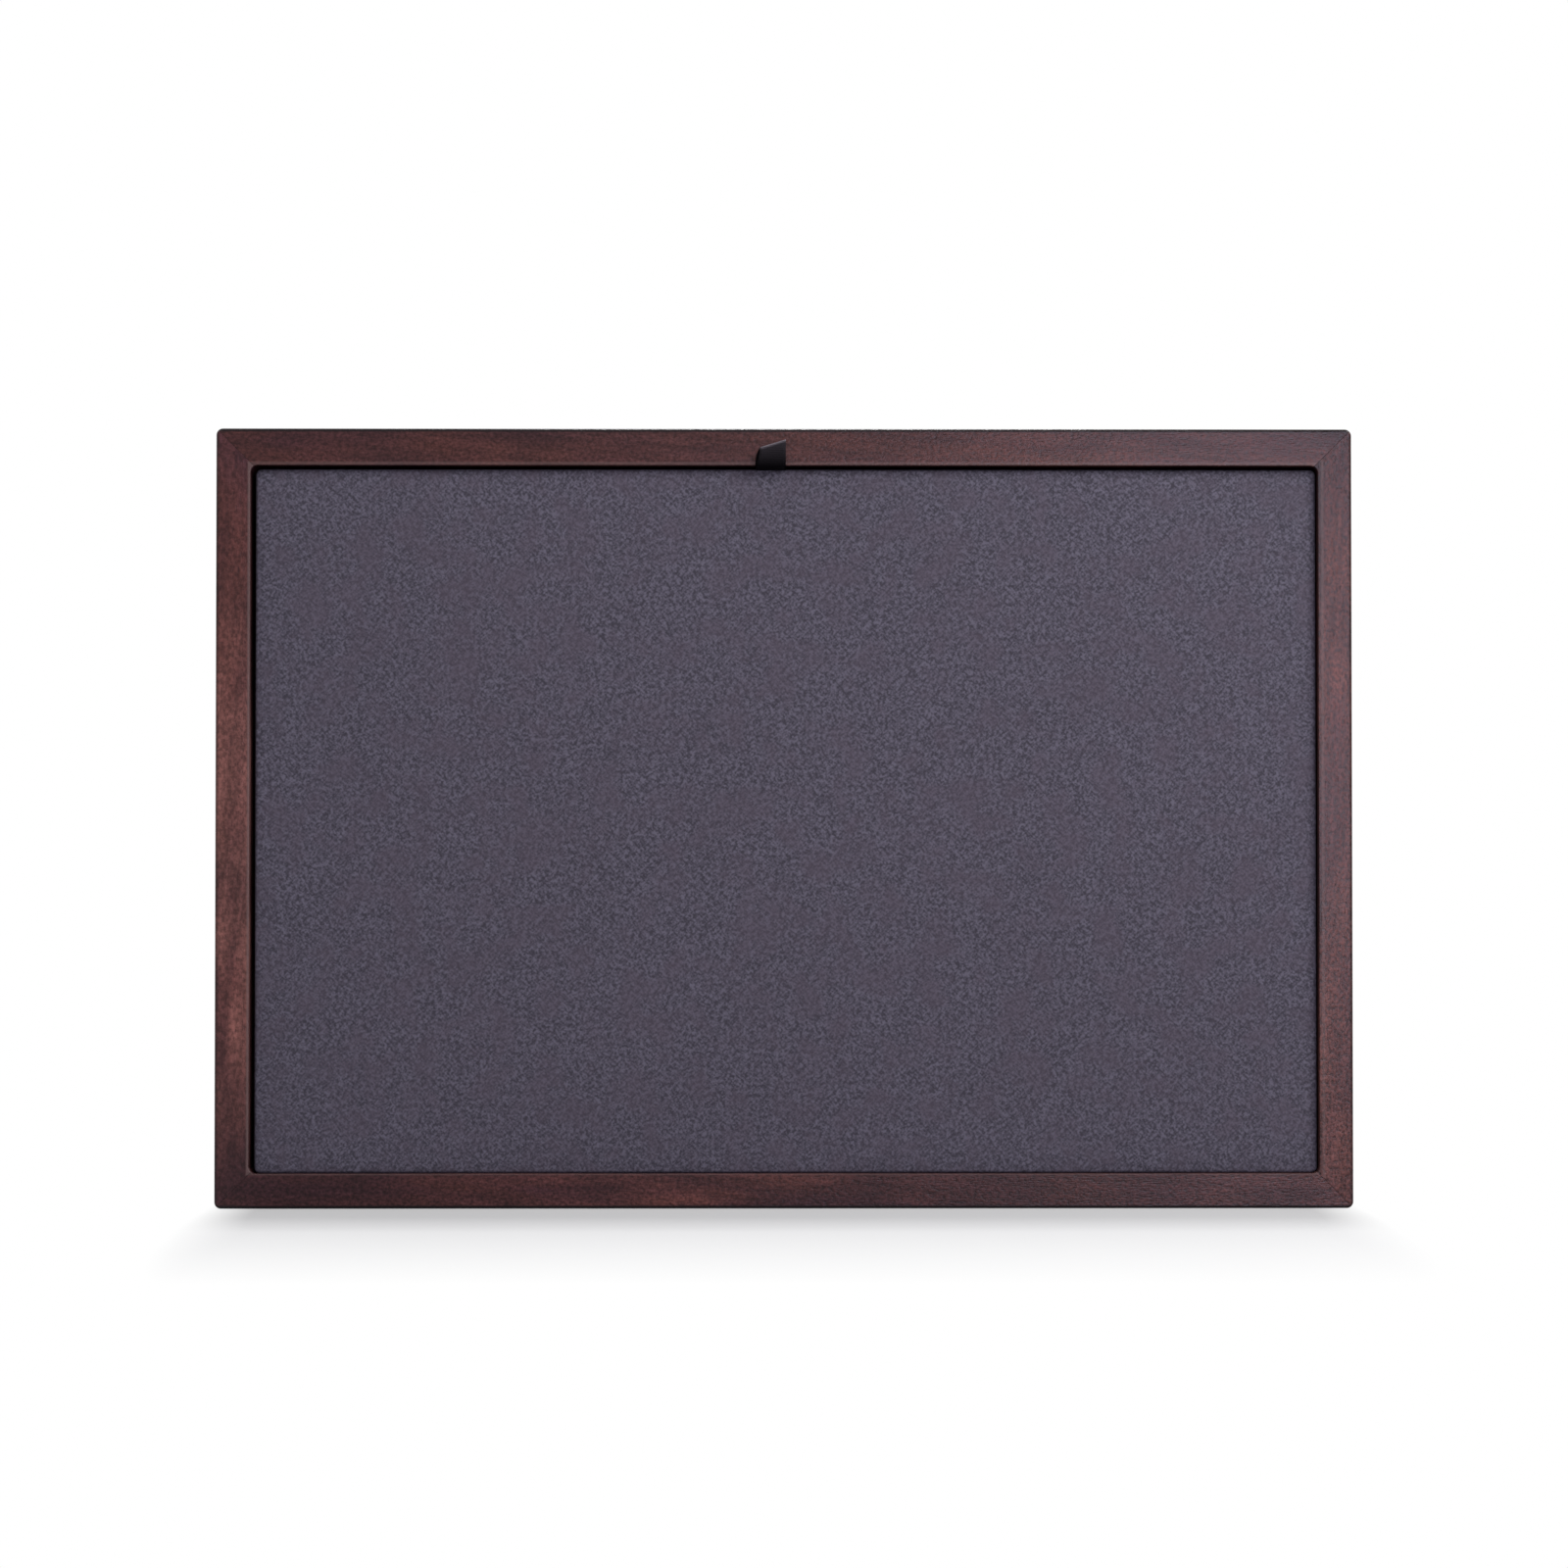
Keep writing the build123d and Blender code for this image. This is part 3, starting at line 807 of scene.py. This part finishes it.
bm = bmesh.new()
along = bm.verts.layers.float.new("along_ribbon")
highlight_layer = bm.verts.layers.float.new("fold_highlight")
left_course, left_length = ribbon_course(
    bm, along, highlight_layer, x=ribbon_left, skew=1, leg=left_leg, lean=left_lean
)
right_course, right_length = ribbon_course(
    bm, along, highlight_layer, x=ribbon_right, skew=0, leg=right_leg, lean=right_lean
)
bmesh.ops.bridge_loops(bm, edges=left_course + right_course)
across = [e for e in bm.edges if abs(e.verts[0].co.x - e.verts[1].co.x) > ribbon_half]
bmesh.ops.subdivide_edges(bm, edges=across, cuts=weave_across - 1, use_grid_fill=True)
bmesh.ops.recalc_face_normals(bm, faces=bm.faces)
ribbon = finished_piece("pull_ribbon", bm, smooth_angle=60)
ribbon.modifiers.clear()
cloth = ribbon.modifiers.new("Ply thickness", "SOLIDIFY")
cloth.thickness = ply
cloth.offset = 0


def grosgrain(name):
    """Black grosgrain: close ribs across the ribbon between two plain woven edges."""
    material, tree, shader = new_material(name, 0.7, 0.03)
    place = add_node(tree, "TexCoord").outputs["Object"]
    course = add_node(tree, "Attribute", attribute_name="along_ribbon").outputs["Fac"]
    ribs = math(tree, "SINE", math(tree, "MULTIPLY", course, 2 * pi / rib_pitch))
    x = add_node(tree, "SeparateXYZ", {0: place}).outputs["X"]
    from_middle = math(tree, "SUBTRACT", x, ribbon_middle)
    from_middle = math(tree, "ABSOLUTE", from_middle)
    ribs_end = ribbon_half - selvedge
    plain_from = ribbon_half - selvedge / 2
    ribbed = spread(tree, from_middle, ribs_end, plain_from, 1.0, 0.0)
    threads = math(tree, "SINE", math(tree, "MULTIPLY", x, 2 * pi / thread_pitch))
    height = math(tree, "MULTIPLY", spread(tree, ribs, -1.0, 1.0, 0.0, 1.0), ribbed)
    height = math(tree, "ADD", height, math(tree, "MULTIPLY", threads, 0.15))
    fluff = noise(tree, place, (0.00067, 0.00067, 0.00067))
    depth = math(tree, "MULTIPLY", height, spread(tree, fluff, 0.3, 0.7, 0.5, 1.0))
    colour = mix_colours(tree, depth, ribbon_black, ribbon_rib)
    # The pale line along the fold is a painted highlight.
    painted_highlight = add_node(tree, "Attribute", attribute_name="fold_highlight").outputs["Fac"]
    colour = mix_colours(tree, painted_highlight, colour, ribbon_fold_highlight)
    lay_finish(tree, shader, colour, height, 0.6, 0.0001)
    return material


ribbon.data.materials.append(grosgrain("black_grosgrain"))
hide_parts("ribbon_tails", "ribbon_loop")
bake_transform(ribbon)

# The tray stands on a plain white floor in a white room. The floor keeps the tray's shadow
# close by and fades to pure white farther off, much sooner past the tray's ends than in front.
floor_half = 6.0
floor_white = (0.36, 0.36, 0.364, 1)
floor_lift = 0.26
shadow_floor = 0.10
white_floor = 0.30
shadow_end = 0.021
end_fade = 13.0
floor_mesh = bpy.data.meshes.new("studio_floor")
bm = bmesh.new()
bmesh.ops.create_grid(bm, x_segments=1, y_segments=1, size=floor_half)
bm.to_mesh(floor_mesh)
bm.free()
floor = bpy.data.objects.new("studio_floor", floor_mesh)
bpy.context.scene.collection.objects.link(floor)


def seen_directly(tree):
    """1 for the rays that should see the white itself, and 0 for the rays that carry light."""
    path = add_node(tree, "LightPath").outputs
    seen = math(tree, "MAXIMUM", path["Is Camera Ray"], path["Is Glossy Ray"])
    return math(tree, "MAXIMUM", seen, path["Is Transmission Ray"])


floor_finish, tree, shader = new_material("white_floor", 0.7, 0.2)
shader.inputs["Base Color"].default_value = floor_white
seen = seen_directly(tree)
place = add_node(tree, "TexCoord").outputs["Object"]
parts = add_node(tree, "SeparateXYZ", {0: place}).outputs
beyond_side = math(tree, "SUBTRACT", math(tree, "ABSOLUTE", parts["X"]), half_width - shadow_end)
beyond_side = math(tree, "MULTIPLY", math(tree, "MAXIMUM", beyond_side, 0.0), end_fade)
beyond = add_node(tree, "CombineXYZ", {"X": beyond_side, "Y": parts["Y"]}).outputs[0]
distance = add_node(tree, "VectorMath", {0: beyond}, operation="LENGTH").outputs["Value"]
lift = add_node(tree, "Emission", {"Strength": math(tree, "MULTIPLY", seen, floor_lift)})
near = add_node(tree, "AddShader", {0: shader.outputs[0], 1: lift.outputs[0]})
far = add_node(tree, "Emission", {"Strength": 1.0})
fade = spread(tree, distance, shadow_floor, white_floor, 0.0, 1.0)
fade = math(tree, "MULTIPLY", fade, seen)
blended = add_node(tree, "MixShader", {0: fade, 1: near.outputs[0], 2: far.outputs[0]})
tree.links.new(blended.outputs[0], tree.nodes["Material Output"].inputs["Surface"])
floor.data.materials.append(floor_finish)

# Plain soft light: an even white room, a soft light on each side in front of the tray, and one
# above and behind it that throws the shadow forward. A cool light far off in front, like a
# window, lies mirrored in the lacquer on the right of the frame.
room_light = 0.24
world = bpy.data.worlds.new("white_room")
bpy.context.scene.world = world
world.use_nodes = True
tree = world.node_tree
strength = spread(tree, seen_directly(tree), 0.0, 1.0, room_light, 1.0)
tree.links.new(strength, tree.nodes["Background"].inputs["Strength"])
tree.nodes["Background"].inputs["Color"].default_value = (1, 1, 1, 1)

lamp_white = (1.0, 1.0, 1.0)
window_cool = (0.96, 0.92, 1.16)
for name, place, aim, size, watts, tint in (
    ("left_softbox", (-0.50, -0.45, 0.80), (0.0, 0.0, 0.12), (0.35, 0.35), 2.0, lamp_white),
    ("right_softbox", (0.54, -0.44, 0.68), (0.0, 0.0, 0.12), (0.35, 0.35), 6.0, lamp_white),
    ("window_softbox", (0.36, -1.60, 0.26), (0.0, 0.0, 0.12), (0.40, 0.50), 5.9, window_cool),
    ("overhead_softbox", (0.02, 0.31, 1.35), (0.0, 0.0, 0.0), (0.28, 0.28), 13.0, lamp_white),
):
    lamp = bpy.data.lights.new(name, "AREA")
    lamp.shape = "RECTANGLE"
    lamp.size, lamp.size_y = size
    lamp.energy = watts
    lamp.color = tint
    lamp_object = bpy.data.objects.new(name, lamp)
    lamp_object.location = place
    facing = (Vector(aim) - Vector(place)).to_track_quat("-Z", "Y")
    lamp_object.rotation_euler = facing.to_euler()
    lamp_object.visible_camera = False
    bpy.context.scene.collection.objects.link(lamp_object)

# The camera looks at the front from just below the tray's middle, a little to the left.
camera = bpy.data.objects.new("camera", bpy.data.cameras.new("camera"))
camera.data.lens = 108
camera.location = (-0.0148, -1.4622, 0.0943)
camera.rotation_euler = (radians(91.43), 0, radians(-0.58))
bpy.context.scene.collection.objects.link(camera)
bpy.context.scene.camera = camera
bpy.context.scene.view_settings.view_transform = "Standard"
